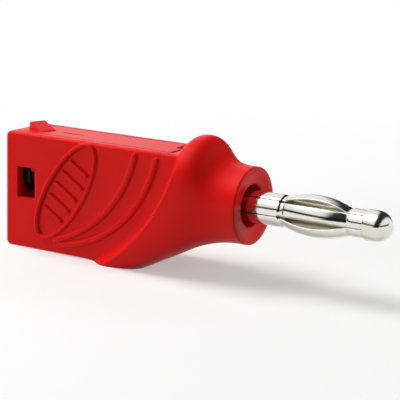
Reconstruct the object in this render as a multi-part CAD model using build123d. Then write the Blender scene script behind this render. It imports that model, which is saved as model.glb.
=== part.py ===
from build123d import *

import os
from math import atan2, cos, degrees, pi, sin, sqrt

# Stackable 4 mm banana plug, in millimetres.
# X runs along the pin towards its tip, Z is up, and the origin is the middle of the collar's front face.

# Plug pin: wide leaf ends, bowed middle, neck and ball head
PIN_R = 2.0
LEAF_COUNT = 6
LEAF_TURN_DEG = 18.0
LEAF_THICK = 0.25
LEAF_SLIT = 0.13
LEAF_REAR_X = -6.2
SHOULDER_X = 4.3
BULGE_X = 8.6
BULGE_R = 2.5
NECK_X = 13.5
NECK_R = 1.69
LEAF_FRONT_X = 15.65
BOW_WIDTH_DEG = 39.0
BOW_RISE = 0.16
BOW_FALL = 0.1
CORE_R = 0.95
CORE_GAP = 0.03
CORE_TAPER = 0.6
CORE_BORE_R = 0.6
CORE_BORE_END_X = 16.2
REAR_SEAT_LENGTH = 2.4
SHOULDER_SEAT_LENGTH = 1.2
HEAD_R = 1.86
HEAD_BACK_X = 15.3
HEAD_ROUND_X = 16.6
HEAD_LIP = 0.12
LEAF_END_GAP = 0.05
TAIL_R = 1.25
TAIL_END_X = -9.2
TAIL_CHAMFER = 0.2

# Housing: a deep flat box behind an oval flare and a round collar
REAR_X = -35.2
TOP_Z = 5.75
BOTTOM_Z = -9.5
HALF_Y = 3.95
SIDE_WALL = 1.05
FLOOR_WALL = 0.95
REAR_WALL = 1.8
CHANNEL_HALF_Y = 2.3
BOX_EDGE = 0.45
REAR_EDGE = 0.7
COLLAR_R = 4.83
COLLAR_LENGTH = 0.9
COLLAR_EDGE = 0.6
COLLAR_LAND = 0.1
COLLAR_DISH = 0.25
COLLAR_BORE_R = 2.68
COLLAR_BORE_DEPTH = 4.7

# Flare: a deep arch seen from the front, whose crest leans back along an arc seen from the side
RIM_HALF_Y = 5.8
RIM_TOP_Z = 7.93
RIM_BEND_Z = -5.0
RIM_LOW_Z = -14.5
RIM_LOW_PULL = (0.63, 0.6)
CREST_R = 24.85
CREST_TOP_X = -7.07
CREST_FLOOR_X = -18.55
SIDE_SETBACK = 1.25
TOP_SETBACK = 3.3
BOX_SETBACK = 0.55
FOOT_INSET = 0.15
FOOT_LIFT = 0.45
FOOT_CORNER = 8
FLARE_STATIONS = 40
# Pull of the flare's curves as a share of their reach, at the top and at the bottom
COLLAR_PULL = (0.72, 0.32)
CREST_PULL = (0.42, 0.62)
REAR_PULL = (0.55, 0.5)
INNER_R = 1.0
INNER_BACK = 2.0

# Ribs and leaf-shaped ring on both side faces: arcs as centre (x, z), radius, first and last angle
RIB_WIDTH = 0.85
RIB_HEIGHT = 0.35
RIB_SLOPE = 0.22
RIBS = (
    ((-31.68, 9.07), 17.33, -14.0, -74.0),
    ((-28.03, 8.44), 16.71, -13.0, -84.0),
)
LEAF_RING_CENTRE = (-25.46, -1.12)
LEAF_RING_LONG = 7.5
LEAF_RING_SHORT = 2.75
LEAF_RING_TURN = 57.8
LEAF_RING_WIDTH = 0.6
FIELD_DEPTH = 0.15
GRIP_BARS = 5
GRIP_PITCH = 1.9
GRIP_BAR = 0.5
GRIP_MARGIN = 0.45
GRIP_HEIGHT = 0.2

# Side windows and rear openings
WINDOW_X = (-33.2, -30.4)
WINDOW_Z = (-2.8, 1.25)
MOUTH_R = 2.2
GUIDE_R = 2.6
GUIDE_FRONT_X = -32.3
CABLE_R = 2.2
CABLE_Z = -5.9

# Contact body: bar with the stacking socket, wire leg and front sleeve
SOCKET_R = 2.02
SOCKET_MOUTH_X = -30.2
SOCKET_END_X = -16.4
SOCKET_LEAD = 0.3
BLOCK_REAR_X = -16.0
BLOCK_FRONT_X = -12.2
BLOCK_HALF_Y = 2.8
BLOCK_TOP_Z = 4.25
BLOCK_LOW_Z = -3.5
LEG_HALF_Y = 2.0
LEG_BOTTOM_Z = -6.75
SLEEVE_X = (-7.0, -4.8)
SLEEVE_R = 2.42
STEM_R = 1.7
WIRE_R = 1.25
WIRE_Z = -5.1
WIRE_END_X = -12.7
SEAT_GAP = 0.1
SLEEVE_GAP = 0.03
TAIL_GAP = 0.01

# Clamp screw and its pad
SCREW_X = -14.1
SCREW_R = 1.45
SCREW_TOP_Z = 4.2
SCREW_LENGTH = 7.1
SCREW_CHAMFER = 0.2
SCREW_SLOT = 0.5
SCREW_SLOT_DEPTH = 0.8
THREAD_GAP = 0.05
PAD_THICK = 0.6
PAD_GAP = 0.02
PAD_SLACK = 0.1
PAD_EDGE = 0.15

# Top cover: panel, rails with trunnions, latch legs and finger catch
COVER_THICK = 1.0
COVER_GAP = 0.1
COVER_FRONT_X = -10.4
COVER_OPENING_X = -10.0
NOTCH_X = -11.4
PIVOT_X = -11.7
PIVOT_Z = 4.85
PIVOT_R = 0.5
PIVOT_GAP = 0.05
PIVOT_REACH = 0.55
RAIL_THICK = 0.7
RAIL_FRONT_X = -11.4
RAIL_BACK_X = -31.5
LEG_X = (-31.9, -30.6)
LEG_END_Z = 0.6
LEG_THICK = 0.6
CATCH_RIDGE = (-33.5, -0.95)
CATCH_TURN_DEG = -22.0
CATCH_LENGTH = 3.0
CATCH_WIDTH = 1.75
CATCH_HEIGHT = 0.95
CATCH_LEAN = 0.3
CATCH_DROP = 0.2
SLIT_X = (-28.5, -25.1)
SLIT_Y = -0.4
SLIT_WIDTH = 0.26
SLIT_DEPTH = 0.6

# Shared: depth by which joined shapes overlap, and how far a cutter passes the surface it cuts
JOIN = 0.05
CUT = 1.0
WALL_Y = HALF_Y - SIDE_WALL


def block(x, y, z):
    """Box between the low and high value of each axis."""
    size = (x[1] - x[0], y[1] - y[0], z[1] - z[0])
    middle = ((x[0] + x[1]) / 2, (y[0] + y[1]) / 2, (z[0] + z[1]) / 2)
    return Pos(*middle) * Box(*size)


def centred(x, half_y, z):
    """Box that reaches the same way to both sides of the pin axis."""
    return block(x, (-half_y, half_y), z)


def rod(x, radius):
    """Round bar along the pin axis between two x values."""
    return Pos((x[0] + x[1]) / 2, 0, 0) * Rot(0, 90, 0) * Cylinder(radius, x[1] - x[0])


def turned(corners):
    """Solid turned about the pin axis from (x, radius) corners."""
    return revolve(Plane.XZ * make_face(Polyline(*corners, close=True)), Axis.X)


def side_face(y):
    """Plane at the given y that looks outwards from the near side, with x and z as its own axes."""
    return Plane(origin=(0, y, 0), x_dir=(1, 0, 0), z_dir=(0, -1, 0))


def both_sides(near):
    """A near-side shape together with its mirror image on the far side."""
    return near + mirror(near, about=Plane.XZ)


def between(pair, share):
    """Value between the first and the last of a pair."""
    return pair[0] + (pair[1] - pair[0]) * share


def bow_profile(inset):
    """Line of the leaf's bowed middle, moved inwards by inset."""
    points = ((SHOULDER_X, PIN_R - inset), (BULGE_X, BULGE_R - inset), (NECK_X, NECK_R - inset))
    return Spline(*points, tangents=((1.0, BOW_RISE), (1.0, -BOW_FALL)))


def degrees_about_x(point):
    """Angle of a point about the pin axis, from +Z towards -Y."""
    return Vector(0, 0, 1).get_signed_angle(Vector(0, point.Y, point.Z), Vector(1, 0, 0))


def swept_sector(profile, width_deg, middle_deg):
    """Profile in the XZ plane turned through a sector about the pin axis."""
    sector = revolve(Plane.XZ * profile, Axis.X, width_deg)
    turn = middle_deg - degrees_about_x(sector.center())
    return Rot(turn, 0, 0) * sector


def strip(x, outer_r):
    """Flat profile of one leaf thickness under a radius."""
    corners = ((x[0], outer_r), (x[1], outer_r), (x[1], outer_r - LEAF_THICK), (x[0], outer_r - LEAF_THICK))
    return make_face(Polyline(*corners, close=True))


def spring_leaf(middle_deg):
    """One leaf: wide ends that close the pin's round, and a narrower bowed middle."""
    wide = 360 / LEAF_COUNT - degrees(LEAF_SLIT / PIN_R)
    outer = bow_profile(0)
    inner = bow_profile(LEAF_THICK)
    bow = Wire([outer, Line(outer @ 1, inner @ 1), inner, Line(inner @ 0, outer @ 0)])
    leaf = swept_sector(strip((LEAF_REAR_X, SHOULDER_X), PIN_R), wide, middle_deg)
    leaf += swept_sector(make_face(bow), BOW_WIDTH_DEG, middle_deg)
    leaf += swept_sector(strip((NECK_X, LEAF_FRONT_X), NECK_R), wide, middle_deg)
    return leaf


def core_pin():
    """Turned centre pin, bored from its tail: two seats under the wide leaf ends, neck seat and ball head."""
    spigot_r = PIN_R - LEAF_THICK - CORE_GAP
    seat_r = NECK_R - LEAF_THICK - CORE_GAP
    tail_front_x = LEAF_REAR_X - LEAF_END_GAP
    head_front_x = LEAF_FRONT_X + LEAF_END_GAP
    shaft = turned((
        (TAIL_END_X, 0),
        (TAIL_END_X, TAIL_R - TAIL_CHAMFER),
        (TAIL_END_X + TAIL_CHAMFER, TAIL_R),
        (tail_front_x, TAIL_R),
        (tail_front_x, spigot_r),
        (tail_front_x + REAR_SEAT_LENGTH, spigot_r),
        (tail_front_x + REAR_SEAT_LENGTH + CORE_TAPER, CORE_R),
        (SHOULDER_X - SHOULDER_SEAT_LENGTH - CORE_TAPER, CORE_R),
        (SHOULDER_X - SHOULDER_SEAT_LENGTH, spigot_r),
        (SHOULDER_X - CORE_TAPER, spigot_r),
        (SHOULDER_X, CORE_R),
        (NECK_X - CORE_TAPER, CORE_R),
        (NECK_X, seat_r),
        (head_front_x, seat_r),
        (head_front_x, HEAD_R - HEAD_LIP),
        (HEAD_BACK_X, HEAD_R - HEAD_LIP),
        (HEAD_BACK_X + HEAD_LIP, HEAD_R),
        (HEAD_ROUND_X, HEAD_R),
        (HEAD_ROUND_X, 0),
    ))
    ball = Pos(HEAD_ROUND_X, 0, 0) * Sphere(HEAD_R)
    pin = shaft + (ball & rod((HEAD_ROUND_X, HEAD_ROUND_X + HEAD_R), HEAD_R + CUT))
    return pin - rod((TAIL_END_X, CORE_BORE_END_X), CORE_BORE_R)


def contact_body():
    """Metal body: bar with the socket at its rear, wire leg under its front, sleeve round the leaf ends."""
    body = centred((SOCKET_MOUTH_X, BLOCK_FRONT_X), BLOCK_HALF_Y, (BLOCK_LOW_Z, BLOCK_TOP_Z))
    body += centred((BLOCK_REAR_X, BLOCK_FRONT_X), LEG_HALF_Y, (LEG_BOTTOM_Z, 0))
    body += rod((BLOCK_FRONT_X - CUT, SLEEVE_X[0] + JOIN), STEM_R) + rod(SLEEVE_X, SLEEVE_R)
    body -= rod((SOCKET_MOUTH_X, SOCKET_END_X), SOCKET_R)
    lead = Cone(SOCKET_R + SOCKET_LEAD, SOCKET_R, SOCKET_LEAD)
    body -= Pos(SOCKET_MOUTH_X + SOCKET_LEAD / 2, 0, 0) * Rot(0, 90, 0) * lead
    body -= rod((LEAF_REAR_X - LEAF_END_GAP, SLEEVE_X[1]), PIN_R + CORE_GAP)
    body -= rod((TAIL_END_X - LEAF_END_GAP, LEAF_REAR_X), TAIL_R + TAIL_GAP)
    body -= Pos(0, 0, WIRE_Z) * rod((BLOCK_REAR_X, WIRE_END_X), WIRE_R)
    thread = Cylinder(SCREW_R + THREAD_GAP, BLOCK_TOP_Z - WIRE_Z)
    body -= Pos(SCREW_X, 0, (BLOCK_TOP_Z + WIRE_Z) / 2) * thread
    return body


def clamp_screw():
    """Slotted screw, drawn back so that the wire bore is open."""
    screw = Pos(SCREW_X, 0, SCREW_TOP_Z - SCREW_LENGTH / 2) * Cylinder(SCREW_R, SCREW_LENGTH)
    screw = chamfer(screw.faces().sort_by(Axis.Z)[-1].edges(), SCREW_CHAMFER)
    slot_x = (SCREW_X - SCREW_SLOT / 2, SCREW_X + SCREW_SLOT / 2)
    return screw - centred(slot_x, SCREW_R, (SCREW_TOP_Z - SCREW_SLOT_DEPTH, SCREW_TOP_Z))


def clamp_pad():
    """Pressure disc between the screw and the wire."""
    top = SCREW_TOP_Z - SCREW_LENGTH - PAD_GAP
    pad = Pos(SCREW_X, 0, top - PAD_THICK / 2) * Cylinder(SCREW_R - PAD_SLACK, PAD_THICK)
    return chamfer(pad.faces().sort_by(Axis.Z)[0].edges(), PAD_EDGE)


def rim_outline():
    """Front outline of half the rim as y and z: round top, straight side, round end below the floor."""
    spring_z = RIM_TOP_Z - RIM_HALF_Y
    drop = RIM_LOW_Z - RIM_BEND_Z
    top = CenterArc((0, spring_z), RIM_HALF_Y, 90, -90)
    side = Line((RIM_HALF_Y, spring_z), (RIM_HALF_Y, RIM_BEND_Z))
    low = Bezier(
        (RIM_HALF_Y, RIM_BEND_Z),
        (RIM_HALF_Y, RIM_BEND_Z + drop * RIM_LOW_PULL[0]),
        (RIM_HALF_Y * RIM_LOW_PULL[1], RIM_LOW_Z),
        (0, RIM_LOW_Z),
    )
    return Wire([top, side, low])


def crest_centre():
    """Centre of the crest's arc as x and z, from the arc's two ends and its radius."""
    top = Vector(CREST_TOP_X, RIM_TOP_Z)
    floor = Vector(CREST_FLOOR_X, BOTTOM_Z)
    chord = top - floor
    rise = sqrt(CREST_R ** 2 - (chord.length / 2) ** 2)
    return (top + floor) / 2 + Vector(-chord.Y, chord.X).normalized() * rise


def crest_x(z):
    """Where the crest's arc lies at a height; it runs on straight below the floor."""
    centre = crest_centre()
    height = centre.Y - max(z, BOTTOM_Z)
    reach = sqrt(CREST_R ** 2 - height ** 2)
    return centre.X + reach - height / reach * max(0, BOTTOM_Z - z)


def foot_depth(inward):
    """How far the foot of the rim lies inside the crest, so that it ends just within the box."""
    across = HALF_Y - FOOT_INSET
    up = TOP_Z - FOOT_INSET - (RIM_TOP_Z - RIM_HALF_Y)
    corner = abs(inward.Y / across) ** FOOT_CORNER + abs(inward.Z / up) ** FOOT_CORNER
    return RIM_HALF_Y - corner ** (-1 / FOOT_CORNER)


def flare_wire(outline, share):
    """Loop through one point of the rim: from the collar over the crest to the foot, and back near the axis."""
    place = outline @ share
    run = outline % share
    inward = Vector(0, -run.Y, -run.X)
    crest = Vector(crest_x(place.Y), -place.X, place.Y)
    angle = atan2(place.X, place.Y)
    spoke = Vector(0, -sin(angle), cos(angle))
    collar = Vector(-COLLAR_LENGTH, 0, 0) + spoke * COLLAR_R

    lowness = (1 - cos(angle)) / 2
    reach = collar.X - crest.X
    travel = crest - collar
    level = 1 - max(0, -run.X) ** 2
    arrive = (travel - inward * (travel.dot(inward) * level)).normalized()
    neck = collar - Vector(reach * between(COLLAR_PULL, lowness), 0, 0)
    brow = crest - arrive * (reach * between(CREST_PULL, lowness))

    centre = crest_centre()
    back = Vector(centre.X - crest.X, 0, centre.Y - crest.Z)
    back = (back - inward * back.dot(inward)).normalized()
    setback = between((SIDE_SETBACK, TOP_SETBACK), max(0, -inward.Z) ** 2)
    foot = crest + back * setback + inward * foot_depth(inward)
    over = crest + back * (setback * REAR_PULL[0])
    under = foot - back * (setback * REAR_PULL[1]) - inward * FOOT_LIFT

    inner_rear = Vector(foot.X - INNER_BACK, 0, 0) + spoke * INNER_R
    inner_front = Vector(-COLLAR_LENGTH, 0, 0) + spoke * INNER_R
    return Wire([
        Bezier(collar, neck, brow, crest),
        Bezier(crest, over, under, foot),
        Line(foot, inner_rear),
        Line(inner_rear, inner_front),
        Line(inner_front, collar),
    ])


def flare():
    """Finger guard that sweeps from the round collar out to the arched rim, trimmed by the floor."""
    outline = rim_outline()
    shares = [(1 - cos(pi * index / FLARE_STATIONS)) / 2 for index in range(FLARE_STATIONS + 1)]
    bell = both_sides(Solid.make_loft([flare_wire(outline, share) for share in shares]))
    return bell - centred((REAR_X, 0), 2 * RIM_HALF_Y, (2 * RIM_LOW_Z, BOTTOM_Z))


def collar():
    """Round lip at the front with a slightly dished face."""
    lip = turned((
        (-COLLAR_LENGTH, 0),
        (-COLLAR_LENGTH, COLLAR_R),
        (0, COLLAR_R),
        (0, COLLAR_R - COLLAR_EDGE - COLLAR_LAND),
        (-COLLAR_DISH, COLLAR_BORE_R),
        (-COLLAR_DISH, 0),
    ))
    front_edge = lip.edges().filter_by(GeomType.CIRCLE).sort_by(Axis.X)[-1]
    return fillet(front_edge, COLLAR_EDGE)


def box_shell():
    """Deep box with softened edges; its front follows the rim's arc and stays inside the rim."""
    box = centred((REAR_X, -COLLAR_LENGTH), HALF_Y, (BOTTOM_Z, TOP_Z))
    box = fillet(box.faces().sort_by(Axis.X)[0].edges().filter_by(Axis.Y), REAR_EDGE)
    rear_upright = box.faces().sort_by(Axis.X)[0].edges().filter_by(Axis.Z)
    box = fillet(box.edges().filter_by(Axis.X) + rear_upright, BOX_EDGE)
    centre = crest_centre()
    limit = Rot(90, 0, 0) * Cylinder(CREST_R - BOX_SETBACK, 2 * HALF_Y + CUT)
    return box & (Pos(centre.X, 0, centre.Y) * limit)


def slope_sides(shape):
    """Bevels the outer edges of a raised shape on the near side."""
    return chamfer(shape.faces().sort_by(Axis.Y)[0].edges(), RIB_SLOPE)


def ring_place():
    """Position and turn of the leaf-shaped ring on a side face."""
    return Pos(*LEAF_RING_CENTRE) * Rot(0, 0, LEAF_RING_TURN)


def side_ribs():
    """Raised ribs and leaf-shaped ring of the near side."""
    face = side_face(-HALF_Y + JOIN)
    height = RIB_HEIGHT + JOIN
    half = LEAF_RING_WIDTH / 2
    shapes = []
    for centre, radius, first, last in RIBS:
        arc = CenterArc(centre, radius, last, first - last)
        shapes.append(extrude(face * SlotArc(arc, RIB_WIDTH), height))
    ring = Ellipse(LEAF_RING_LONG + half, LEAF_RING_SHORT + half)
    ring -= Ellipse(LEAF_RING_LONG - half, LEAF_RING_SHORT - half)
    shapes.append(extrude(face * (ring_place() * ring), height))
    return [slope_sides(shape) for shape in shapes]


def grip_field():
    """Shallow field inside the leaf-shaped ring, and the bars that stand in it."""
    long_r = LEAF_RING_LONG - LEAF_RING_WIDTH / 2
    short_r = LEAF_RING_SHORT - LEAF_RING_WIDTH / 2
    field = extrude(side_face(-HALF_Y) * (ring_place() * Ellipse(long_r, short_r)), -FIELD_DEPTH)
    bottom = side_face(-HALF_Y + FIELD_DEPTH + JOIN)
    bars = []
    for index in range(GRIP_BARS):
        along = (index - (GRIP_BARS - 1) / 2) * GRIP_PITCH
        half = short_r * sqrt(1 - (along / long_r) ** 2) - GRIP_MARGIN
        bar = ring_place() * Pos(along, 0) * Rot(0, 0, 90) * SlotOverall(2 * half, GRIP_BAR)
        bars.append(extrude(bottom * bar, JOIN + FIELD_DEPTH + GRIP_HEIGHT))
    return field, bars


def housing_hollows():
    """Everything that is hollow in the housing: cavity, seats of the metal body, openings, pivot holes."""
    inner_x = REAR_X + REAR_WALL
    high_z = RIM_TOP_Z + CUT
    ledge_z = TOP_Z - COVER_THICK - COVER_GAP
    rear_x = BLOCK_REAR_X - CUT
    leg_y = LEG_HALF_Y + SEAT_GAP
    block_y = BLOCK_HALF_Y + SEAT_GAP
    pivot_half = WALL_Y + PIVOT_REACH + SEAT_GAP
    return [
        centred((inner_x, BLOCK_REAR_X), WALL_Y, (BLOCK_LOW_Z, high_z)),
        centred((inner_x, BLOCK_REAR_X), CHANNEL_HALF_Y, (BOTTOM_Z + FLOOR_WALL, high_z)),
        centred((rear_x, BLOCK_FRONT_X + SEAT_GAP), leg_y, (LEG_BOTTOM_Z - SEAT_GAP, high_z)),
        centred((rear_x, BLOCK_FRONT_X + SEAT_GAP), block_y, (BLOCK_LOW_Z, BLOCK_TOP_Z + SEAT_GAP)),
        centred((rear_x, COVER_OPENING_X), WALL_Y, (0, high_z)),
        centred((REAR_X - CUT, inner_x + CUT), WALL_Y, (ledge_z, high_z)),
        rod((BLOCK_FRONT_X - CUT, CUT), SLEEVE_R + SLEEVE_GAP),
        rod((-COLLAR_BORE_DEPTH, CUT), COLLAR_BORE_R),
        rod((REAR_X - CUT, inner_x + CUT), MOUTH_R),
        Pos(0, 0, CABLE_Z) * rod((REAR_X - CUT, inner_x + CUT), CABLE_R),
        centred(WINDOW_X, HALF_Y + CUT, WINDOW_Z),
        Pos(PIVOT_X, 0, PIVOT_Z) * Rot(90, 0, 0) * Cylinder(PIVOT_R + PIVOT_GAP, 2 * pivot_half),
    ]


def mouth_guide():
    """Collar inside the rear wall that leads a stacked plug to the socket."""
    reach = (REAR_X + REAR_WALL - JOIN, GUIDE_FRONT_X)
    return rod(reach, GUIDE_R) - rod(reach, MOUTH_R)


def housing():
    """One moulding: box, flare and collar, with the cavity, openings and side relief."""
    shell = box_shell() + flare() + collar()
    for hollow in housing_hollows():
        shell -= hollow
    shell += mouth_guide()
    field, bars = grip_field()
    shell -= both_sides(field)
    for shape in side_ribs() + bars:
        shell += both_sides(shape)
    return shell


def finger_catch():
    """Wedge that stands turned on the cover: steep at the rear, with a ramp towards the front."""
    profile = make_face(Polyline(
        (-CATCH_LEAN, -CATCH_DROP),
        (0, CATCH_HEIGHT),
        (CATCH_LENGTH, 0),
        (CATCH_LENGTH, -CATCH_DROP),
        close=True,
    ))
    wedge = extrude(Plane.XZ * profile, -CATCH_WIDTH)
    return Pos(*CATCH_RIDGE, TOP_Z) * Rot(0, 0, CATCH_TURN_DEG) * wedge


def cover_side():
    """What hangs under the near edge of the cover: rail, latch leg, knuckle and trunnion."""
    half_y = WALL_Y - COVER_GAP
    rail_y = (-half_y, -half_y + RAIL_THICK)
    high_z = TOP_Z - COVER_THICK / 2
    pivot = Pos(PIVOT_X, -half_y, PIVOT_Z) * Rot(90, 0, 0)
    reach = PIVOT_REACH + COVER_GAP
    side = block((RAIL_BACK_X, RAIL_FRONT_X), rail_y, (PIVOT_Z - PIVOT_R, high_z))
    side += block(LEG_X, (-half_y, -half_y + LEG_THICK), (LEG_END_Z, high_z))
    side += pivot * Pos(0, 0, -RAIL_THICK / 2) * Cylinder(PIVOT_R, RAIL_THICK)
    side += pivot * Pos(0, 0, (reach - RAIL_THICK) / 2) * Cylinder(PIVOT_R, reach + RAIL_THICK)
    return side


def top_cover():
    """Panel between the side walls, with rails, trunnions, latch legs, catch, slit and notch."""
    cover = centred((REAR_X, COVER_FRONT_X), WALL_Y - COVER_GAP, (TOP_Z - COVER_THICK, TOP_Z))
    rear_top = cover.faces().sort_by(Axis.X)[0].edges().sort_by(Axis.Z)[-1]
    cover = fillet(rear_top, REAR_EDGE)
    cover -= block((NOTCH_X, 0), (0, WALL_Y), (0, TOP_Z + CUT))
    cover += both_sides(cover_side())
    cover += finger_catch()
    slit_y = (SLIT_Y - SLIT_WIDTH / 2, SLIT_Y + SLIT_WIDTH / 2)
    return cover - block(SLIT_X, slit_y, (TOP_Z - SLIT_DEPTH, TOP_Z + CUT))


def parts():
    """Every piece by its node name."""
    pieces = {
        "housing": housing(),
        "top_cover": top_cover(),
        "contact_body": contact_body(),
        "core_pin": core_pin(),
        "clamp_screw": clamp_screw(),
        "clamp_pad": clamp_pad(),
    }
    for index in range(LEAF_COUNT):
        pieces[f"spring_leaf_{index + 1}"] = spring_leaf(LEAF_TURN_DEG + index * 360 / LEAF_COUNT)
    return pieces


os.makedirs("parts", exist_ok=True)
for name, solid in parts().items():
    export_step(solid, f"parts/{name}.step")
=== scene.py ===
"""Stackable banana plug: moulded housing, hinged cover, plated contact parts, sprung leaf pin."""

import logging
import math
from dataclasses import dataclass, field
from enum import Enum
from typing import Any

import bmesh
import bpy
from mathutils import Matrix, Vector


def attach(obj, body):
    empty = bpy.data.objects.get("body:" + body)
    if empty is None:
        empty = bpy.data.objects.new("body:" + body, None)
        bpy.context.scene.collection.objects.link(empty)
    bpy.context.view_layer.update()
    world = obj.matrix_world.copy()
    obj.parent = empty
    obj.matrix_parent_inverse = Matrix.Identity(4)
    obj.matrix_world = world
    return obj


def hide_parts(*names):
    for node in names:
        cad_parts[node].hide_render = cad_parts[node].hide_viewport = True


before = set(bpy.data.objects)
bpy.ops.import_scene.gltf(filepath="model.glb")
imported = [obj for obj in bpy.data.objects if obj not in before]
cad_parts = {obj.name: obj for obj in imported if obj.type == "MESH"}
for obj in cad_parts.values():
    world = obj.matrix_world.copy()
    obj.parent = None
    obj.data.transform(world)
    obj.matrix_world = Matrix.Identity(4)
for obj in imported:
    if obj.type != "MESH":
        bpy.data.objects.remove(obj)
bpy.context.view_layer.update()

LOG = logging.getLogger("banana_plug")
MM = 0.001
BEVEL_SAMPLES = 6
MERGE_MM = 0.0001
SMALL_EDGE = 0.03
CENTRE = (0.0, 0.0, 0.0)
PIN_AXIS = (1.0, 0.0, 0.0)
RANGE_SOCKETS = ("From Min", "From Max", "To Min", "To Max")

RGB = tuple[float, float, float]
RGBA = tuple[float, float, float, float]
Place = tuple[float, float, float]
Profile = list[tuple[float, float]]
Socket = bpy.types.NodeSocket


def opaque(colour: RGB) -> RGBA:
    """Gives a colour full alpha.

    Args:
        colour: Red, green and blue.

    Returns:
        The colour with an alpha of 1.
    """
    return (*colour, 1.0)


def grey(level: float) -> RGBA:
    """Opaque grey.

    Args:
        level: Value of red, green and blue alike.

    Returns:
        The grey with an alpha of 1.
    """
    return opaque((level, level, level))


class Turning(Enum):
    """Axis that fine tool marks run round or along."""

    ROUND_PIN = (6000.0, 900.0, 900.0)
    ALONG_PIN = (260.0, 5200.0, 5200.0)
    ALL_WAYS = (2600.0, 2600.0, 2600.0)


class NodeSheet:
    """Small helper that adds and joins shader nodes of one material or world."""

    def __init__(self, tree: bpy.types.NodeTree) -> None:
        """Keeps the tree and empties it.

        Args:
            tree: Node tree of a material or world.
        """
        self.tree = tree
        self.tree.nodes.clear()

    def add(self, kind: str, **values: Any) -> bpy.types.Node:
        """Adds one node.

        Args:
            kind: Node type name.
            values: Properties of the node, or sockets by name with spaces written as underscores.

        Returns:
            The new node.
        """
        node = self.tree.nodes.new(kind)
        for key, value in values.items():
            if hasattr(node, key):
                setattr(node, key, value)
                continue
            node.inputs[key.replace("_", " ")].default_value = value
        return node

    def join(self, source: Socket, target: Socket) -> None:
        """Joins an output to an input.

        Args:
            source: Output socket.
            target: Input socket.
        """
        self.tree.links.new(source, target)

    def ramp(self, factor: Socket, stops: list[tuple[float, RGBA]]) -> Socket:
        """Colour ramp over a factor.

        Args:
            factor: Output that drives the ramp.
            stops: Position and colour of each stop, in order.

        Returns:
            The ramp's colour output.
        """
        node = self.add("ShaderNodeValToRGB")
        elements = node.color_ramp.elements
        elements[0].position, elements[0].color = stops[0]
        elements[1].position, elements[1].color = stops[-1]
        for position, colour in stops[1:-1]:
            elements.new(position).color = colour
        self.join(factor, node.inputs["Fac"])
        return node.outputs["Color"]

    def noise(self, place: Socket, scale: float, detail: float, roughness: float = 0.5) -> Socket:
        """Noise over a place.

        Args:
            place: Coordinates.
            scale: Scale of the noise.
            detail: Its octaves.
            roughness: Weight of the finer octaves.

        Returns:
            The noise's factor.
        """
        node = self.add("ShaderNodeTexNoise", Scale=scale, Detail=detail, Roughness=roughness)
        self.join(place, node.inputs["Vector"])
        return node.outputs["Fac"]

    def remap(self, value: Socket, limits: tuple[float, float, float, float]) -> Socket:
        """Maps a value from one range to another, clamped.

        Args:
            value: Output to map.
            limits: Lower and upper end of the old range, then of the new one.

        Returns:
            The mapped value.
        """
        node = self.add("ShaderNodeMapRange", clamp=True)
        self.join(value, node.inputs["Value"])
        for socket, number in zip(RANGE_SOCKETS, limits):
            node.inputs[socket].default_value = number
        return node.outputs["Result"]

    def maths(self, operation: str, first: Socket, second: Socket, clamp: bool = False) -> Socket:
        """Joins two values by one operation.

        Args:
            operation: Name of the operation.
            first: First value.
            second: Second value.
            clamp: True to keep the result between 0 and 1.

        Returns:
            The result.
        """
        node = self.add("ShaderNodeMath", operation=operation, use_clamp=clamp)
        self.join(first, node.inputs[0])
        self.join(second, node.inputs[1])
        return node.outputs[0]

    def along(self, place: Socket, direction: Place) -> Socket:
        """Dot product of a place with a fixed direction.

        Args:
            place: Coordinates.
            direction: The fixed direction.

        Returns:
            The product.
        """
        node = self.add("ShaderNodeVectorMath", operation="DOT_PRODUCT")
        node.inputs[1].default_value = direction
        self.join(place, node.inputs[0])
        return node.outputs["Value"]

    def blend(self, factor: Socket, first: Socket, second: Socket) -> Socket:
        """Mixes two shaders.

        Args:
            factor: Share of the second shader.
            first: First shader.
            second: Second shader.

        Returns:
            The mixed shader.
        """
        node = self.add("ShaderNodeMixShader")
        self.join(factor, node.inputs["Fac"])
        self.join(first, node.inputs[1])
        self.join(second, node.inputs[2])
        return node.outputs[0]


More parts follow.
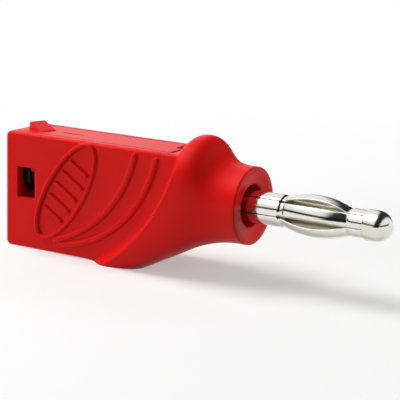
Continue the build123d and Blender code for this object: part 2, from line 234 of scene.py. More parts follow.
@dataclass(frozen=True)
class Finish:
    """What each finish has: two colours that mingle in clouds, fine marks and rounded edges."""

    name: str
    colour: RGB
    cloud: RGB
    roughness: float
    edge_round: float
    cloud_noise: tuple[float, float, float]
    cloud_stops: tuple[float, float]
    mark_stops: tuple[float, float]
    bump_strength: float
    mark_depth: float

    def rough_limits(self) -> tuple[float, float]:
        """Roughness in the low and the high marks.

        Returns:
            Both values.
        """
        return self.roughness, self.roughness

    def marks(self, sheet: NodeSheet, place: Socket) -> Socket:
        """Fine marks on the surface.

        Args:
            sheet: Node helper of the material.
            place: Object coordinates.

        Returns:
            Height of the marks.
        """
        raise NotImplementedError

    def shader(self, sheet: NodeSheet) -> bpy.types.Node:
        """Principled shader with the constants of the kind of material.

        Args:
            sheet: Node helper of the material.

        Returns:
            The shader node.
        """
        raise NotImplementedError

    def build(self) -> bpy.types.Material:
        """Makes the material.

        Returns:
            The finished material.
        """
        material = bpy.data.materials.new(self.name)
        material.use_nodes = True
        sheet = NodeSheet(material.node_tree)
        place = sheet.add("ShaderNodeTexCoord").outputs["Object"]
        clouds = sheet.noise(place, *self.cloud_noise)
        marks = self.marks(sheet, place)
        colours = zip(self.cloud_stops, (opaque(self.colour), opaque(self.cloud)))
        levels = zip(self.mark_stops, (grey(level) for level in self.rough_limits()))
        rounded = sheet.add("ShaderNodeBevel", samples=BEVEL_SAMPLES, Radius=self.edge_round)
        bump = sheet.add("ShaderNodeBump", Strength=self.bump_strength, Distance=self.mark_depth)
        sheet.join(marks, bump.inputs["Height"])
        sheet.join(rounded.outputs["Normal"], bump.inputs["Normal"])
        shader = self.shader(sheet)
        sheet.join(sheet.ramp(clouds, list(colours)), shader.inputs["Base Color"])
        sheet.join(sheet.ramp(marks, list(levels)), shader.inputs["Roughness"])
        sheet.join(bump.outputs["Normal"], shader.inputs["Normal"])
        output = sheet.add("ShaderNodeOutputMaterial")
        sheet.join(shader.outputs["BSDF"], output.inputs["Surface"])
        return material


@dataclass(frozen=True)
class MouldedPlastic(Finish):
    """Injection-moulded plastic: even colour, fine spark-eroded grain and faint flow clouds."""

    roughness: float = 0.36
    edge_round: float = 0.00040
    cloud_noise: tuple[float, float, float] = (170.0, 3.0, 0.55)
    cloud_stops: tuple[float, float] = (0.3, 0.7)
    mark_stops: tuple[float, float] = (0.35, 0.65)
    bump_strength: float = 0.6
    mark_depth: float = 0.0000045
    gloss: float = 0.14
    grain_noise: tuple[float, float, float] = (5200.0, 4.0, 0.6)
    rough_spread: tuple[float, float] = (0.05, 0.06)

    def rough_limits(self) -> tuple[float, float]:
        """Roughness in the low and the high grain.

        Returns:
            Both values.
        """
        below, above = self.rough_spread
        return self.roughness - below, self.roughness + above

    def marks(self, sheet: NodeSheet, place: Socket) -> Socket:
        """Fine grain of the mould.

        Args:
            sheet: Node helper of the material.
            place: Object coordinates.

        Returns:
            Height of the grain.
        """
        return sheet.noise(place, *self.grain_noise)

    def shader(self, sheet: NodeSheet) -> bpy.types.Node:
        """Plastic with a weak gloss.

        Args:
            sheet: Node helper of the material.

        Returns:
            The shader node.
        """
        return sheet.add("ShaderNodeBsdfPrincipled", Specular_IOR_Level=self.gloss)


@dataclass(frozen=True)
class PlatedMetal(Finish):
    """Plated metal with tool marks, faint tarnish clouds and slightly rounded edges."""

    roughness: float = 0.12
    edge_round: float = 0.00005
    cloud_noise: tuple[float, float, float] = (420.0, 4.0, 0.6)
    cloud_stops: tuple[float, float] = (0.35, 0.75)
    mark_stops: tuple[float, float] = (0.3, 0.8)
    bump_strength: float = 0.5
    mark_depth: float = 0.0000012
    turning: Turning = Turning.ALL_WAYS
    mark_noise: tuple[float, float, float] = (1.0, 3.0, 0.6)
    rough_share: tuple[float, float] = (0.75, 1.7)

    def rough_limits(self) -> tuple[float, float]:
        """Roughness in the low and the high tool marks.

        Returns:
            Both values.
        """
        low, high = self.rough_share
        return self.roughness * low, self.roughness * high

    def marks(self, sheet: NodeSheet, place: Socket) -> Socket:
        """Tool marks, stretched round or along the pin.

        Args:
            sheet: Node helper of the material.
            place: Object coordinates.

        Returns:
            Height of the marks.
        """
        stretch = sheet.add("ShaderNodeMapping")
        stretch.inputs["Scale"].default_value = self.turning.value
        sheet.join(place, stretch.inputs["Vector"])
        return sheet.noise(stretch.outputs["Vector"], *self.mark_noise)

    def shader(self, sheet: NodeSheet) -> bpy.types.Node:
        """Bare metal.

        Args:
            sheet: Node helper of the material.

        Returns:
            The shader node.
        """
        return sheet.add("ShaderNodeBsdfPrincipled", Metallic=1.0)


@dataclass
class Finishes:
    """Every finish of the plug, with darker copies that stand in for shade, made once."""

    moulding: bpy.types.Material = field(init=False)
    cover: bpy.types.Material = field(init=False)
    shade_liner: bpy.types.Material = field(init=False)
    pin: bpy.types.Material = field(init=False)
    painted_shade_shaft: bpy.types.Material = field(init=False)
    leaf: bpy.types.Material = field(init=False)
    leaf_painted_shade: bpy.types.Material = field(init=False)
    body: bpy.types.Material = field(init=False)
    screw: bpy.types.Material = field(init=False)

    def __post_init__(self) -> None:
        """Builds the plastics, then the metals."""
        self.mould()
        self.plate()

    def mould(self) -> None:
        """Builds the plastics."""
        self.moulding = MouldedPlastic(
            "red_moulded_plastic", (0.70, 0.0075, 0.006), (0.66, 0.0065, 0.0052)
        ).build()
        self.cover = MouldedPlastic(
            "red_cover_plastic", (0.71, 0.0085, 0.007), (0.67, 0.007, 0.006), roughness=0.33
        ).build()
        # Near-black plastic for the liner: painted shade deep inside the side window.
        self.shade_liner = MouldedPlastic(
            "black_painted_shade_plastic",
            (0.012, 0.010, 0.010),
            (0.008, 0.007, 0.007),
            roughness=0.5,
            edge_round=0.00005,
        ).build()

    def plate(self) -> None:
        """Builds the metals."""
        nickel = (0.80, 0.785, 0.74)
        self.pin = PlatedMetal(
            "nickel_turned", nickel, (0.72, 0.69, 0.61), roughness=0.12, turning=Turning.ROUND_PIN
        ).build()
        # Darker, yellower, rougher copy of the nickel for the pin's middle: painted shade between
        # the leaves.
        self.painted_shade_shaft = PlatedMetal(
            "nickel_painted_shade_shaft",
            (0.74, 0.71, 0.58),
            (0.60, 0.55, 0.40),
            roughness=0.34,
            turning=Turning.ROUND_PIN,
        ).build()
        self.leaf = PlatedMetal(
            "nickel_spring_leaf",
            nickel,
            (0.76, 0.735, 0.68),
            roughness=0.10,
            edge_round=0.00003,
            turning=Turning.ALONG_PIN,
        ).build()
        # Darker, yellower, rougher copy of the nickel for the leaves' inward faces: painted shade
        # between the leaves.
        self.leaf_painted_shade = PlatedMetal(
            "nickel_leaf_painted_shade",
            (0.72, 0.69, 0.57),
            (0.58, 0.54, 0.40),
            roughness=0.36,
            turning=Turning.ALONG_PIN,
        ).build()
        self.body = PlatedMetal(
            "nickel_machined", (0.72, 0.70, 0.64), (0.64, 0.60, 0.50), roughness=0.2
        ).build()
        self.screw = PlatedMetal(
            "zinc_screw", (0.62, 0.64, 0.66), (0.55, 0.56, 0.55), roughness=0.24
        ).build()


class Workbench:
    """Shared steps that turn a bmesh into a finished piece."""

    @staticmethod
    def turned(profile: Profile, steps: int, closed: bool = False) -> bmesh.types.BMesh:
        """Turns an (x, radius) profile about the pin's axis.

        Args:
            profile: Corners in millimetres.
            steps: Steps of the full turn.
            closed: True for a ring, whose last corner joins the first.

        Returns:
            The turned shape, in metres.
        """
        shape = bmesh.new()
        corners = [shape.verts.new((x * MM, 0.0, radius * MM)) for x, radius in profile]
        pairs = list(zip(corners, corners[1:]))
        if closed:
            pairs.append((corners[-1], corners[0]))
        edges = [shape.edges.new(pair) for pair in pairs]
        bmesh.ops.spin(
            shape,
            geom=corners + edges,
            cent=CENTRE,
            axis=PIN_AXIS,
            angle=math.tau,
            steps=steps,
            use_merge=True,
            use_duplicate=False,
        )
        bmesh.ops.remove_doubles(shape, verts=shape.verts, dist=MERGE_MM * MM)
        bmesh.ops.recalc_face_normals(shape, faces=shape.faces)
        return shape

    @staticmethod
    def cut(shape: bmesh.types.BMesh, cutter: bmesh.types.BMesh) -> bmesh.types.BMesh:
        """Takes one closed shape out of another.

        Args:
            shape: The shape that stays, freed here.
            cutter: The shape taken out, freed here.

        Returns:
            The cut shape.
        """
        solids = []
        for name, part in (("stock", shape), ("cutter", cutter)):
            mesh = bpy.data.meshes.new(name)
            part.to_mesh(mesh)
            part.free()
            solids.append(bpy.data.objects.new(name, mesh))
            bpy.context.scene.collection.objects.link(solids[-1])
        stock, tool = solids
        slotting = stock.modifiers.new("slotting", "BOOLEAN")
        slotting.operation, slotting.object, slotting.solver = "DIFFERENCE", tool, "EXACT"
        depsgraph = bpy.context.evaluated_depsgraph_get()
        done = bpy.data.meshes.new_from_object(stock.evaluated_get(depsgraph))
        result = bmesh.new()
        result.from_mesh(done)
        bpy.data.meshes.remove(done)
        for solid in solids:
            mesh = solid.data
            bpy.data.objects.remove(solid)
            bpy.data.meshes.remove(mesh)
        return result

    @staticmethod
    def soften(
        shape: bmesh.types.BMesh, width: float, least_deg: float = 35.0, segments: int = 2
    ) -> None:
        """Rounds every edge that turns sharply.

        Args:
            shape: The shape to change.
            width: Width of the rounding in millimetres.
            least_deg: Smallest angle between two faces that counts as sharp.
            segments: Faces across each rounding.
        """
        limit = math.radians(least_deg)
        between = [edge for edge in shape.edges if len(edge.link_faces) == 2]
        bmesh.ops.bevel(
            shape,
            geom=[edge for edge in between if edge.calc_face_angle() > limit],
            offset=width * MM,
            offset_type="OFFSET",
            affect="EDGES",
            segments=segments,
            profile=0.5,
            material=-1,
            clamp_overlap=True,
        )

    @staticmethod
    def finish(
        name: str,
        shape: bmesh.types.BMesh,
        materials: list[bpy.types.Material],
        body: str,
        slot: str,
    ) -> bpy.types.Object:
        """Makes the named object and lets it ride on its body.

        Args:
            name: Name of the piece.
            shape: Its finished bmesh, which is freed.
            materials: Its materials, in the order of the faces' indices.
            body: CAD body that it moves with.
            slot: Material slot of the record; not used.

        Returns:
            The piece.
        """
        for face in shape.faces:
            face.smooth = True
        mesh = bpy.data.meshes.new(name)
        shape.to_mesh(mesh)
        shape.free()
        for material in materials:
            mesh.materials.append(material)
        piece = bpy.data.objects.new(name, mesh)
        bpy.context.scene.collection.objects.link(piece)
        weights = piece.modifiers.new("even_normals", "WEIGHTED_NORMAL")
        weights.keep_sharp = True
        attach(piece, body)
        LOG.info("built %s", name)
        return piece


@dataclass
class SpringCage:
    """Six sprung leaves that close the pin's round at both ends and bow out between. In mm."""

    finishes: Finishes
    count: int = 6
    first_turn: float = 11.5
    rear_x: float = -6.2
    shoulder_x: float = 4.3
    tuck_x: float = 4.62
    bulge_x: float = 8.8
    ring_x: float = 13.3
    front_x: float = 15.65
    tube_r: float = 2.0
    tuck_r: float = 1.83
    bulge_r: float = 2.58
    bow_end_r: float = 1.58
    ring_r: float = 1.69
    thick: float = 0.25
    slit: float = 0.13
    strip_width: float = 1.5
    corner: float = 0.1
    edge: float = 0.035
    edge_deg: float = 50.0
    snug: float = 0.01
    # Faces turned this far towards the pin take the darker copy of the nickel as painted shade.
    painted_shade_facing: float = -0.5
    tube_cuts: tuple[float, ...] = (-5.8, -3.0, 0.0, 2.4, 3.9)
    neck_cut: float = 4.46
    ring_cuts: tuple[float, ...] = (13.8, 15.35)
    bow_steps: int = 22
    across: int = 8

    def stations(self) -> list[float]:
        """Places along the leaf where its outline is set.

        Returns:
            Places from the rear to the front.
        """
        tube = [self.rear_x, *self.tube_cuts, self.shoulder_x - self.corner]
        neck = [self.shoulder_x, self.neck_cut]
        reach = self.ring_x - self.tuck_x
        bow = [self.tuck_x + reach * step / self.bow_steps for step in range(self.bow_steps + 1)]
        ring = [self.ring_x + self.corner, *self.ring_cuts, self.front_x]
        return tube + neck + bow + ring

    def radius(self, x: float) -> float:
        """Radius of the leaf's outer face.

        Args:
            x: Place along the pin.

        Returns:
            The radius there.
        """
        if x <= self.shoulder_x:
            return self.tube_r
        if x < self.tuck_x:
            share = (x - self.shoulder_x) / (self.tuck_x - self.shoulder_x)
            return self.tube_r + (self.tuck_r - self.tube_r) * share * share * (3.0 - 2.0 * share)
        if x > self.ring_x:
            return self.ring_r
        end_x, end_r = self.tuck_x, self.tuck_r
        if x >= self.bulge_x:
            end_x, end_r = self.ring_x, self.bow_end_r
        share = (self.bulge_x - x) / (self.bulge_x - end_x)
        return self.bulge_r - (self.bulge_r - end_r) * share * share

    def half_angle(self, x: float) -> float:
        """Half of the angle that the leaf covers.

        Args:
            x: Place along the pin.

        Returns:
            The half angle there.
        """
        radius = self.radius(x)
        if x < self.shoulder_x - self.snug or x > self.ring_x + self.snug:
            return math.pi / self.count - self.slit / radius / 2.0
        return self.strip_width / radius / 2.0

    def leaf(self, index: int) -> bpy.types.Object:
        """Builds one leaf: a flat grid laid round the pin, given its wall and softened edges.

        Args:
            index: Number of the leaf, from 0.

        Returns:
            The leaf.
        """
        stations = self.stations()
        last = len(stations) - 1
        middle = math.radians(self.first_turn) + index * math.tau / self.count
        shape = bmesh.new()
        bmesh.ops.create_grid(shape, x_segments=last, y_segments=self.across, size=1.0)
        for corner in shape.verts:
            x = stations[round((corner.co.x + 1.0) / 2.0 * last)]
            angle = middle + corner.co.y * self.half_angle(x)
            radius = self.radius(x)
            corner.co = Vector((x, -math.sin(angle) * radius, math.cos(angle) * radius)) * MM
        first = self.first_face(shape)
        if first.normal.dot(self.outwards(first)) < 0.0:
            bmesh.ops.reverse_faces(shape, faces=shape.faces)
        bmesh.ops.solidify(shape, geom=shape.faces[:], thickness=self.thick * MM)
        bmesh.ops.recalc_face_normals(shape, faces=shape.faces)
        Workbench.soften(shape, self.edge, least_deg=self.edge_deg)
        # Inward faces get the darker copy of the nickel: painted shade between the leaves.
        for face in shape.faces:
            in_painted_shade = face.normal.dot(self.outwards(face)) < self.painted_shade_facing
            face.material_index = 1 if in_painted_shade else 0
        sides = [self.finishes.leaf, self.finishes.leaf_painted_shade]
        name = f"sprung_leaf_{index + 1}"
        piece = Workbench.finish(name, shape, sides, "housing", "spring_metal")
        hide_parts(f"spring_leaf_{index + 1}")
        return piece

    @staticmethod
    def first_face(shape: bmesh.types.BMesh) -> bmesh.types.BMFace:
        """First face, with its normal brought up to date.

        Args:
            shape: The leaf's grid.

        Returns:
            The face.
        """
        shape.faces.ensure_lookup_table()
        shape.normal_update()
        return shape.faces[0]

    @staticmethod
    def outwards(face: bmesh.types.BMFace) -> Vector:
        """Direction away from the pin's axis.

        Args:
            face: Face whose middle is looked at.

        Returns:
            The direction, of length 1.
        """
        centre = face.calc_center_median()
        return Vector((0.0, centre.y, centre.z)).normalized()

    def build(self) -> None:
        """Builds every leaf."""
        for index in range(self.count):
            self.leaf(index)


@dataclass
class CorePin:
    """Turned centre pin with its seats under the leaf ends and its ball head. In mm."""

    finishes: Finishes
    tail_x: float = -9.2
    tail_r: float = 1.25
    tail_chamfer: float = 0.2
    seat_x: float = -6.25
    seat_end_x: float = -3.85
    seat_r: float = 1.72
    shaft_x: float = -3.25
    shaft_end_x: float = 2.4
    # Start of the painted shade: from here to the neck the pin takes the darker copy of the nickel.
    shaft_r: float = 1.5
    painted_shade_x: float = 2.3
    land_x: float = 3.0
    land_end_x: float = 3.9
    shoulder_x: float = 4.2
    shoulder_r: float = 1.47
    bow_x: float = 4.3
    bow_end_x: float = 12.9
    neck_x: float = 13.5
    neck_r: float = 1.41
    skirt_x: float = 15.3
    skirt_r: float = 1.74
    skirt_end_x: float = 15.7
    head_r: float = 1.86
    head_x: float = 16.59
    lip: float = 0.12
    lip_share: float = 0.35
    head_steps: int = 14
    steps: int = 72

    def profile(self) -> Profile:
        """Corners of the pin from its tail to its tip.

        Returns:
            Places along the pin, each with its radius.
        """
        quarter = math.pi / 2.0
        turns = [quarter * step / self.head_steps for step in range(self.head_steps + 1)]
        ball = [
            (self.head_x + self.head_r * math.sin(turn), self.head_r * math.cos(turn))
            for turn in turns
        ]
        bite = self.lip * self.lip_share
        return [
            (self.tail_x, 0.0),
            (self.tail_x, self.tail_r - self.tail_chamfer),
            (self.tail_x + self.tail_chamfer, self.tail_r),
            (self.seat_x, self.tail_r),
            (self.seat_x, self.seat_r),
            (self.seat_end_x, self.seat_r),
            (self.shaft_x, self.shaft_r),
            (self.shaft_end_x, self.shaft_r),
            (self.land_x, self.seat_r),
            (self.land_end_x, self.seat_r),
            (self.shoulder_x, self.shoulder_r),
            (self.bow_x, self.shaft_r),
            (self.bow_end_x, self.shaft_r),
            (self.neck_x, self.neck_r),
            (self.skirt_end_x, self.neck_r),
            (self.skirt_end_x, self.skirt_r),
            (self.skirt_x, self.skirt_r),
            (self.skirt_x + bite, self.head_r - bite),
            (self.skirt_x + self.lip, self.head_r),
            *ball,
        ]

    def build(self) -> bpy.types.Object:
        """Turns the pin and gives its middle, seen between the leaves, a darker copy of the nickel
        as painted shade.

        Returns:
            The pin.
        """
        shape = Workbench.turned(self.profile(), self.steps)
        for face in shape.faces:
            # The middle of the pin, seen between the leaves, gets the darker copy of the nickel as
            # painted shade.
            along = face.calc_center_median().x / MM
            face.material_index = 1 if self.painted_shade_x < along < self.neck_x else 0
        Workbench.soften(shape, SMALL_EDGE)
        metals = [self.finishes.pin, self.finishes.painted_shade_shaft]
        piece = Workbench.finish("ball_headed_pin", shape, metals, "housing", "nickel")
        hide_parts("core_pin")
        return piece


@dataclass
class FingerCatch:
    """Softly edged wedge over the cover's catch: steep at the rear, a ramp in front. In mm."""

    finishes: Finishes
    ridge: Place = (-33.5, -0.98, 5.75)
    turn_deg: float = -22.0
    lean: float = 0.34
    height: float = 0.98
    length: float = 3.04
    width: float = 2.25
    sink: float = 0.1
    edge: float = 0.14
    edge_deg: float = 20.0
    edge_segments: int = 3

    def side(self) -> Profile:
        """Outline of the wedge's side face.

        Returns:
            Places along the wedge, each with its height.
        """
        return [
            (-self.lean, -self.sink),
            (0.0, self.height),
            (self.length, 0.0),
            (self.length, -self.sink),
        ]

    def build(self) -> bpy.types.Object:
        """Extrudes the wedge from its side face and turns it on the cover.

        Returns:
            The catch.
        """
        shape = bmesh.new()
        corners = [shape.verts.new((x * MM, 0.0, z * MM)) for x, z in self.side()]
        spread = bmesh.ops.extrude_face_region(shape, geom=[shape.faces.new(corners)])
        moved = [item for item in spread["geom"] if isinstance(item, bmesh.types.BMVert)]
        bmesh.ops.translate(shape, verts=moved, vec=(0.0, self.width * MM, 0.0))
        bmesh.ops.recalc_face_normals(shape, faces=shape.faces)
        Workbench.soften(shape, self.edge, least_deg=self.edge_deg, segments=self.edge_segments)
        turn = Matrix.Rotation(math.radians(self.turn_deg), 3, "Z")
        bmesh.ops.rotate(shape, verts=shape.verts, cent=CENTRE, matrix=turn)
        bmesh.ops.translate(shape, verts=shape.verts, vec=Vector(self.ridge) * MM)
        return Workbench.finish(
            "finger_catch", shape, [self.finishes.cover], "cover", "red_cover"
        )


@dataclass
class ClampScrew:
    """Slotted clamp screw with its thread, drawn back from the wire. In mm."""

    finishes: Finishes
    centre_x: float = -14.1
    low_z: float = -2.9
    length: float = 7.1
    radius: float = 1.45
    root_r: float = 1.2
    land: float = 1.1
    chamfer: float = 0.2
    pitch: float = 0.5
    turns: int = 11
    steps: int = 48
    thread_lead: float = 0.05
    thread_sink: float = 0.03
    thread_share: float = 0.96
    slot_width: float = 0.5
    slot_depth: float = 0.8

    def blank(self) -> bmesh.types.BMesh:
        """Turned body along +X from the origin, before it is stood up.

        Returns:
            The body.
        """
        top = self.length
        return Workbench.turned(
            [
                (0.0, 0.0),
                (0.0, self.root_r - self.chamfer),
                (self.chamfer, self.root_r),
                (top - self.land, self.root_r),
                (top - self.land, self.radius),
                (top - self.chamfer, self.radius),
                (top, self.radius - self.chamfer),
                (top, 0.0),
            ],
            self.steps,
        )

    def slot(self) -> bmesh.types.BMesh:
        """Block that cuts the screwdriver slot.

        Returns:
            The block.
        """
        cutter = bmesh.new()
        bmesh.ops.create_cube(cutter, size=1.0)
        size = Vector((2.0 * self.slot_depth, 4.0 * self.radius, self.slot_width)) * MM
        bmesh.ops.scale(cutter, verts=cutter.verts, vec=size)
        bmesh.ops.translate(cutter, verts=cutter.verts, vec=(self.length * MM, 0.0, 0.0))
        return cutter

    def thread(self, shape: bmesh.types.BMesh) -> None:
        """Adds the thread's ridge: a three-cornered profile spun along the body.

        Args:
            shape: The screw's body, which takes the ridge in.
        """
        start = self.chamfer + self.thread_lead
        sunk = self.root_r - self.thread_sink
        corners = [(0.0, sunk), (self.pitch / 2.0, self.radius)]
        corners.append((self.pitch * self.thread_share, sunk))
        points = [shape.verts.new(((start + x) * MM, 0.0, radius * MM)) for x, radius in corners]
        end = shape.faces.new(points)
        steps = self.turns * self.steps // 2
        bmesh.ops.spin(
            shape,
            geom=[end, *end.edges, *points],
            cent=CENTRE,
            axis=PIN_AXIS,
            dvec=(self.pitch * self.turns / steps * MM, 0.0, 0.0),
            angle=math.tau * self.turns,
            steps=steps,
            use_duplicate=False,
        )

    def build(self) -> bpy.types.Object:
        """Makes the screw and stands it in the block.

        Returns:
            The screw.
        """
        shape = Workbench.cut(self.blank(), self.slot())
        Workbench.soften(shape, SMALL_EDGE)
        self.thread(shape)
        bmesh.ops.recalc_face_normals(shape, faces=shape.faces)
        upright = Matrix.Rotation(-math.pi / 2.0, 3, "Y")
        bmesh.ops.rotate(shape, verts=shape.verts, cent=CENTRE, matrix=upright)
        foot = (self.centre_x * MM, 0.0, self.low_z * MM)
        bmesh.ops.translate(shape, verts=shape.verts, vec=foot)
        metal = [self.finishes.screw]
        piece = Workbench.finish("slotted_screw", shape, metal, "screw", "plated_steel")
        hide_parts("clamp_screw")
        return piece


@dataclass
class PaintedShadeLiner:
    """Near-black liner round the stacking socket, capped over the guide collar: a dark sheet put
    there as painted shade in the side window. In mm.
    """

    finishes: Finishes
    rear_x: float = -35.05
    front_x: float = -30.24
    inner_r: float = 2.03
    outer_r: float = 2.19
    guide_x: float = -32.28
    cap_rear_x: float = -33.38
    cap_inner_r: float = 2.62
    cap_r: float = 2.69
    cap_wall: float = 0.1
    lead: float = 0.08
    lead_length: float = 0.3
    steps: int = 64

    def build(self) -> bpy.types.Object:
        """Turns the liner.

        Returns:
            The liner.
        """
        profile = [
            (self.rear_x, self.inner_r + self.lead),
            (self.rear_x, self.outer_r),
            (self.guide_x, self.outer_r),
            (self.guide_x, self.cap_inner_r),
            (self.cap_rear_x, self.cap_inner_r),
            (self.cap_rear_x, self.cap_r),
            (self.guide_x + self.cap_wall, self.cap_r),
            (self.guide_x + self.cap_wall, self.outer_r),
            (self.front_x, self.outer_r),
            (self.front_x, self.inner_r),
            (self.rear_x + self.lead_length, self.inner_r),
        ]
        shape = Workbench.turned(profile, self.steps, closed=True)
        Workbench.soften(shape, SMALL_EDGE)
        return Workbench.finish(
            "painted_shade_liner", shape, [self.finishes.shade_liner], "housing", "red_moulding"
        )


@dataclass
class CadPieces:
    """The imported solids, each with the finish of the real piece."""

    finishes: Finishes

    def finish_for(self, node: str) -> bpy.types.Material:
        """Finish of one CAD node.

        Args:
            node: Name of the node.

        Returns:
            Its material.
        """
        table = {
            "housing": self.finishes.moulding,
            "top_cover": self.finishes.cover,
            "contact_body": self.finishes.body,
            "core_pin": self.finishes.pin,
            "clamp_screw": self.finishes.screw,
            "clamp_pad": self.finishes.screw,
        }
        return table.get(node, self.finishes.leaf)

    def dress(self) -> None:
        """Gives every CAD node its material."""
        for name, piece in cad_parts.items():
            piece.data.materials.clear()
            piece.data.materials.append(self.finish_for(name))
            LOG.info("dressed %s", name)


@dataclass(frozen=True)
class SoftBox:
    """One lamp: a lit rectangle that looks at the object. In metres and watts."""

    name: str
    place: Place
    size: tuple[float, float]
    watts: float
    aim: Place = (-0.012, 0.0, 0.0)

    def hang(self) -> None:
        """Adds the lamp. Mirrored rays see the world's own patch in its place."""
        data = bpy.data.lights.new(self.name, "AREA")
        data.shape = "RECTANGLE"
        data.size, data.size_y = self.size
        data.energy = self.watts
        lamp = bpy.data.objects.new(self.name, data)
        lamp.location = self.place
        lamp.visible_glossy = False
        sight = Vector(self.aim) - Vector(self.place)
        lamp.rotation_euler = sight.to_track_quat("-Z", "Y").to_euler()
        bpy.context.scene.collection.objects.link(lamp)


@dataclass(frozen=True)
class PaleFloor:
    """Floor that keeps the object's shadow and fades to white with distance."""

    level: float = -0.0095
    half_size: float = 3.0
    cloud_noise: tuple[float, float] = (6.0, 2.0)
    cloud_stops: tuple[float, float] = (0.3, 0.7)
    greys: tuple[float, float] = (0.85, 0.87)
    bounced_grey: float = 0.42
    roughness: float = 0.6
    gloss: float = 0.15
    glow: tuple[float, float, float, float] = (0.02, 0.13, 0.35, 1.0)

    def plate(self) -> bpy.types.Object:
        """Makes the flat plate.

        Returns:
            The plate.
        """
        mesh = bpy.data.meshes.new("studio_floor")
        shape = bmesh.new()
        bmesh.ops.create_grid(shape, x_segments=1, y_segments=1, size=self.half_size)
        bmesh.ops.translate(shape, verts=shape.verts, vec=(0.0, 0.0, self.level))
        shape.to_mesh(mesh)
        shape.free()
        floor = bpy.data.objects.new("studio_floor", mesh)
        bpy.context.scene.collection.objects.link(floor)
        return floor

    def finish(self) -> bpy.types.Material:
        """Pale matt finish, darker for bounced light, with a glow that only seen rays get.

        Returns:
            The material.
        """
        material = bpy.data.materials.new("pale_floor")
        material.use_nodes = True
        sheet = NodeSheet(material.node_tree)
        place = sheet.add("ShaderNodeTexCoord").outputs["Object"]
        cloud = sheet.noise(place, *self.cloud_noise)
        tint = sheet.ramp(cloud, list(zip(self.cloud_stops, (grey(level) for level in self.greys))))
        rays = sheet.add("ShaderNodeLightPath").outputs
        bounced = sheet.add("ShaderNodeMix", data_type="RGBA")
        sheet.join(rays["Is Diffuse Ray"], bounced.inputs[0])
        sheet.join(tint, bounced.inputs[6])
        bounced.inputs[7].default_value = grey(self.bounced_grey)
        shader = sheet.add(
            "ShaderNodeBsdfPrincipled", Roughness=self.roughness, Specular_IOR_Level=self.gloss
        )
        sheet.join(bounced.outputs[2], shader.inputs["Base Color"])
        glow = sheet.add("ShaderNodeEmission", Strength=1.0)
        far = sheet.add("ShaderNodeVectorMath", operation="LENGTH")
        sheet.join(place, far.inputs[0])
        spread = sheet.remap(far.outputs["Value"], self.glow)
        seen = sheet.maths("ADD", rays["Is Camera Ray"], rays["Is Glossy Ray"], clamp=True)
        seen = sheet.maths("ADD", seen, rays["Is Transmission Ray"], clamp=True)
        share = sheet.maths("MULTIPLY", seen, spread)
        output = sheet.add("ShaderNodeOutputMaterial")
        pale = sheet.blend(share, shader.outputs["BSDF"], glow.outputs[0])
        sheet.join(pale, output.inputs["Surface"])
        return material

    def lay(self) -> None:
        """Lays the floor under the object."""
        floor = self.plate()
        floor.data.materials.append(self.finish())


@dataclass(frozen=True)
class Surroundings:
    """White backdrop for seen rays, soft light on the object, and cards for metal to mirror."""

    ambient: float = 0.16
    ambient_tint: RGB = (1.0, 0.985, 0.97)
    white_card: RGB = (1.0, 1.0, 1.0)
    dim_card: RGB = (0.62, 0.66, 0.66)
    dark_card: RGB = (0.03, 0.035, 0.035)
    band_stops: tuple[float, ...] = (0.10, 0.15, 0.27, 0.33)
    ceiling_stops: tuple[float, float] = (0.80, 0.93)
    gap_normal: Place = (-0.928, -0.180, 0.325)
    gap_stops: tuple[float, float] = (0.24, 0.42)
    backdrop_limits: tuple[float, float, float, float] = (0.30, 0.55, 0.0, 1.0)
    key_direction: Place = (-0.40, -0.28, 0.87)
    key_limits: tuple[float, float, float, float] = (0.86, 0.97, 1.0, 5.0)

    def bands(self) -> list[tuple[float, RGBA]]:
        """Cards from the horizon up to the ceiling.

        Returns:
            Height and colour of each stop.
        """
        white, dark = opaque(self.white_card), opaque(self.dark_card)
        ceiling = zip(self.ceiling_stops, (white, opaque(self.dim_card)))
        return [(0.0, white), *zip(self.band_stops, (white, dark, dark, white)), *ceiling]

    def cards(self, sheet: NodeSheet, place: Socket) -> Socket:
        """Colours that metal mirrors.

        Args:
            sheet: Node helper of the world.
            place: Direction of the ray.

        Returns:
            The colour.
        """
        split = sheet.add("ShaderNodeSeparateXYZ")
        sheet.join(place, split.inputs[0])
        horizon = sheet.add("ShaderNodeMix", data_type="RGBA")
        behind = sheet.remap(split.outputs["Y"], self.backdrop_limits)
        sheet.join(behind, horizon.inputs[0])
        sheet.join(sheet.ramp(split.outputs["Z"], self.bands()), horizon.inputs[6])
        horizon.inputs[7].default_value = opaque(self.white_card)
        off_gap = sheet.add("ShaderNodeMath", operation="ABSOLUTE")
        sheet.join(sheet.along(place, self.gap_normal), off_gap.inputs[0])
        edges = zip(self.gap_stops, (opaque(self.dark_card), opaque(self.white_card)))
        both = sheet.add("ShaderNodeMix", data_type="RGBA", blend_type="MULTIPLY")
        both.inputs[0].default_value = 1.0
        sheet.join(horizon.outputs[2], both.inputs[6])
        sheet.join(sheet.ramp(off_gap.outputs[0], list(edges)), both.inputs[7])
        return both.outputs[2]

    def build(self) -> None:
        """Makes the world."""
        world = bpy.data.worlds.new("studio_world")
        bpy.context.scene.world = world
        world.use_nodes = True
        sheet = NodeSheet(world.node_tree)
        rays = sheet.add("ShaderNodeLightPath").outputs
        place = sheet.add("ShaderNodeTexCoord").outputs["Generated"]
        tint = opaque(self.ambient_tint)
        soft = sheet.add("ShaderNodeBackground", Color=tint, Strength=self.ambient)
        white = sheet.add("ShaderNodeBackground", Color=opaque(self.white_card), Strength=1.0)
        mirrored = sheet.add("ShaderNodeBackground")
        sheet.join(self.cards(sheet, place), mirrored.inputs["Color"])
        lift = sheet.remap(sheet.along(place, self.key_direction), self.key_limits)
        sheet.join(lift, mirrored.inputs["Strength"])
        lit = sheet.blend(rays["Is Glossy Ray"], soft.outputs[0], mirrored.outputs[0])
        direct = sheet.maths("MAXIMUM", rays["Is Camera Ray"], rays["Is Transmission Ray"])
        output = sheet.add("ShaderNodeOutputWorld")
        sheet.join(sheet.blend(direct, lit, white.outputs[0]), output.inputs["Surface"])


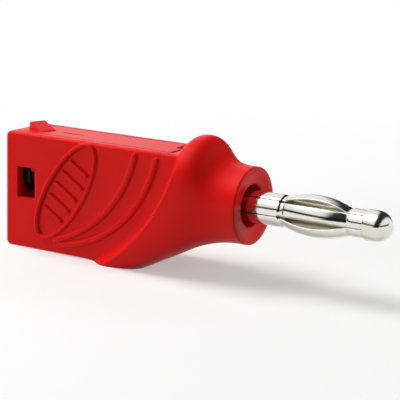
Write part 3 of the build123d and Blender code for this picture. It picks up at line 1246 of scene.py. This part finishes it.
@dataclass
class Studio:
    """The photograph's camera, the pale floor, the white surroundings and soft lamps."""

    azimuth: float = 31.4
    elevation: float = 12.75
    roll: float = 1.62
    focal_px: float = 1530.0
    image_px: float = 400.0
    sensor_mm: float = 36.0
    clip: tuple[float, float] = (0.01, 50.0)
    distance: float = 0.190
    target: Place = (-0.00765, 0.0, -0.00034)
    lamps: tuple[SoftBox, ...] = (
        SoftBox("key_box", (-0.20, -0.03, 0.28), (0.20, 0.18), 1.25),
        SoftBox("left_box", (-0.20, -0.30, 0.04), (0.14, 0.12), 0.48),
        SoftBox("right_box", (0.28, 0.26, 0.10), (0.16, 0.14), 0.70),
    )

    def camera(self) -> None:
        """Places the camera at the photograph's viewing angle."""
        a, e, r = (math.radians(v) for v in (self.azimuth, self.elevation, self.roll))
        out = Vector((math.sin(a) * math.cos(e), -math.cos(a) * math.cos(e), math.sin(e)))
        right = Vector((math.cos(a), math.sin(a), 0.0))
        up = out.cross(right)
        tilted_right = right * math.cos(r) + up * math.sin(r)
        tilted_up = up * math.cos(r) - right * math.sin(r)
        data = bpy.data.cameras.new("photo_camera")
        data.sensor_width = self.sensor_mm
        data.lens = self.focal_px / self.image_px * data.sensor_width
        data.clip_start, data.clip_end = self.clip
        camera = bpy.data.objects.new("photo_camera", data)
        turn = Matrix((tilted_right, tilted_up, out)).transposed().to_4x4()
        stand = Vector(self.target) + out * self.distance
        camera.matrix_world = Matrix.Translation(stand) @ turn
        bpy.context.scene.collection.objects.link(camera)
        bpy.context.scene.camera = camera

    def build(self) -> None:
        """Makes the whole stage."""
        self.camera()
        PaleFloor().lay()
        Surroundings().build()
        for lamp in self.lamps:
            lamp.hang()
        LOG.info("stage ready")


def main() -> None:
    """Builds the scene in order."""
    logging.basicConfig(level=logging.INFO)
    bpy.context.scene.view_settings.view_transform = "Standard"
    finishes = Finishes()
    CadPieces(finishes).dress()
    SpringCage(finishes).build()
    CorePin(finishes).build()
    FingerCatch(finishes).build()
    ClampScrew(finishes).build()
    PaintedShadeLiner(finishes).build()
    Studio().build()


if __name__ == "__main__":
    main()
